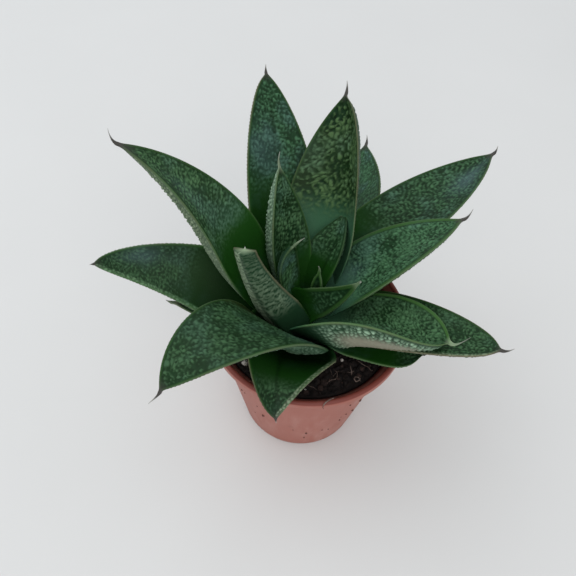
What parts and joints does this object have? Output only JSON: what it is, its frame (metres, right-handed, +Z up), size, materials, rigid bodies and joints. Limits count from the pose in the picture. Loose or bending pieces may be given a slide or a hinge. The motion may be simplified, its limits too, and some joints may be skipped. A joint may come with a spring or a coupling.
{
  "type": "potted gasteraloe",
  "caption": "Young gasteraloe succulent in a small round nursery pot: an open rosette of pointed, keeled leaves with raised pale tubercles and bristle tips.",
  "frame": {"origin": "centre of the pot's flat underside", "axes": "+Z up out of the pot, -Y the side that faces the viewer, +X to the viewer's right"},
  "size_m": [0.107, 0.096, 0.1027],
  "materials": {
    "pot_plastic": "thin terracotta-coloured plastic, satin",
    "peat": "dark crumbly peat with perlite",
    "stem_tissue": "pale green, matte",
    "leaf_tissue": "dark green with pale raised tubercles, satin"
  },
  "bodies": {
    "root": {"pot": "pot_plastic", "soil": "peat", "stem": "stem_tissue", "leaf_01": "leaf_tissue", "leaf_02": "leaf_tissue", "leaf_03": "leaf_tissue", "leaf_04": "leaf_tissue", "leaf_05": "leaf_tissue", "leaf_06": "leaf_tissue", "leaf_07": "leaf_tissue", "leaf_08": "leaf_tissue", "leaf_09": "leaf_tissue", "leaf_10": "leaf_tissue", "leaf_11": "leaf_tissue", "leaf_12": "leaf_tissue", "leaf_13": "leaf_tissue", "leaf_14": "leaf_tissue", "leaf_15": "leaf_tissue", "leaf_16": "leaf_tissue", "leaf_17": "leaf_tissue", "leaf_18": "leaf_tissue", "leaf_19": "leaf_tissue", "leaf_20": "leaf_tissue", "leaf_21": "leaf_tissue"}
  },
  "joints": []
}
